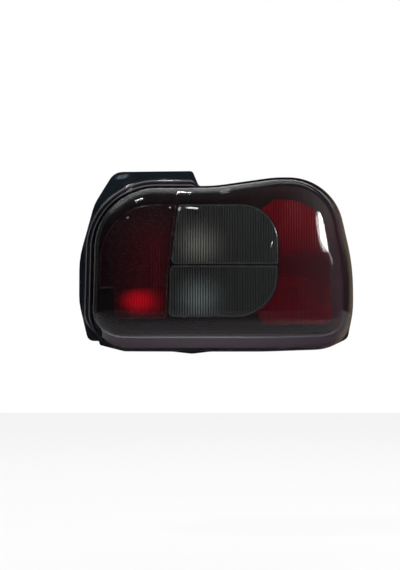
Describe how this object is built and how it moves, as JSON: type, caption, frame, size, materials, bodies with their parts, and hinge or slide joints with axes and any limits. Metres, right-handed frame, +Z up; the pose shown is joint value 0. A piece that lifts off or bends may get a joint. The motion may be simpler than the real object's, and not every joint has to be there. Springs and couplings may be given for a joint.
{
  "type": "tail light cluster",
  "caption": "Smoked tail light cluster for a car's rear corner: red and clear fluted inner lenses, reflectors and bulbs under a domed outer lens, with studs and bulb carrier behind.",
  "frame": {"origin": "centre of the four-stud pattern, on the plane where the gasket and the stud bosses meet the car body", "axes": "the light shines towards -Y, +X is towards the outer side of the car (the viewer's right), +Z is up"},
  "size_m": [0.3015, 0.089, 0.2017],
  "materials": {
    "smoked_lens": "polished, smoke-tinted, see-through",
    "red_lens": "polished, red, see-through, fluted",
    "clear_lens": "polished, clear, fluted",
    "housing_plastic": "smooth, dark blue-grey",
    "bezel_plastic": "satin black",
    "reflector_metal": "vacuum-metallised, bright",
    "bulb_clear": "clear",
    "bulb_amber": "amber lacquer",
    "cap_brass": "bright nickel-plated brass",
    "carrier_plastic": "natural, slightly glossy",
    "contact_brass": "rolled strip",
    "zinc_steel": "zinc-plated",
    "seal_rubber": "matt",
    "gasket_foam": "closed-cell foam"
  },
  "bodies": {
    "root": {"outer_lens": "smoked_lens", "lens_seal": "seal_rubber", "housing": "housing_plastic", "mounting_studs": "zinc_steel", "body_gasket": "gasket_foam", "breather_cap": "seal_rubber", "bezel": "bezel_plastic", "left_inner_lens": "red_lens", "indicator_inner_lens": "clear_lens", "reversing_inner_lens": "clear_lens", "right_inner_lens": "red_lens", "tail_reflector": "reflector_metal", "fog_reflector": "reflector_metal", "indicator_reflector": "reflector_metal", "reversing_reflector": "reflector_metal", "stop_reflector": "reflector_metal", "tail_bulb_glass": "bulb_clear", "fog_bulb_glass": "bulb_clear", "indicator_bulb_glass": "bulb_amber", "reversing_bulb_glass": "bulb_clear", "stop_bulb_glass": "bulb_clear", "tail_bulb_cap": "cap_brass", "fog_bulb_cap": "cap_brass", "indicator_bulb_cap": "cap_brass", "reversing_bulb_cap": "cap_brass", "stop_bulb_cap": "cap_brass", "bulb_carrier": "carrier_plastic", "carrier_seal": "gasket_foam", "earth_strip": "contact_brass", "tail_strip": "contact_brass", "stop_strip": "contact_brass", "fog_strip": "contact_brass", "indicator_strip": "contact_brass", "reversing_strip": "contact_brass"}
  },
  "joints": []
}
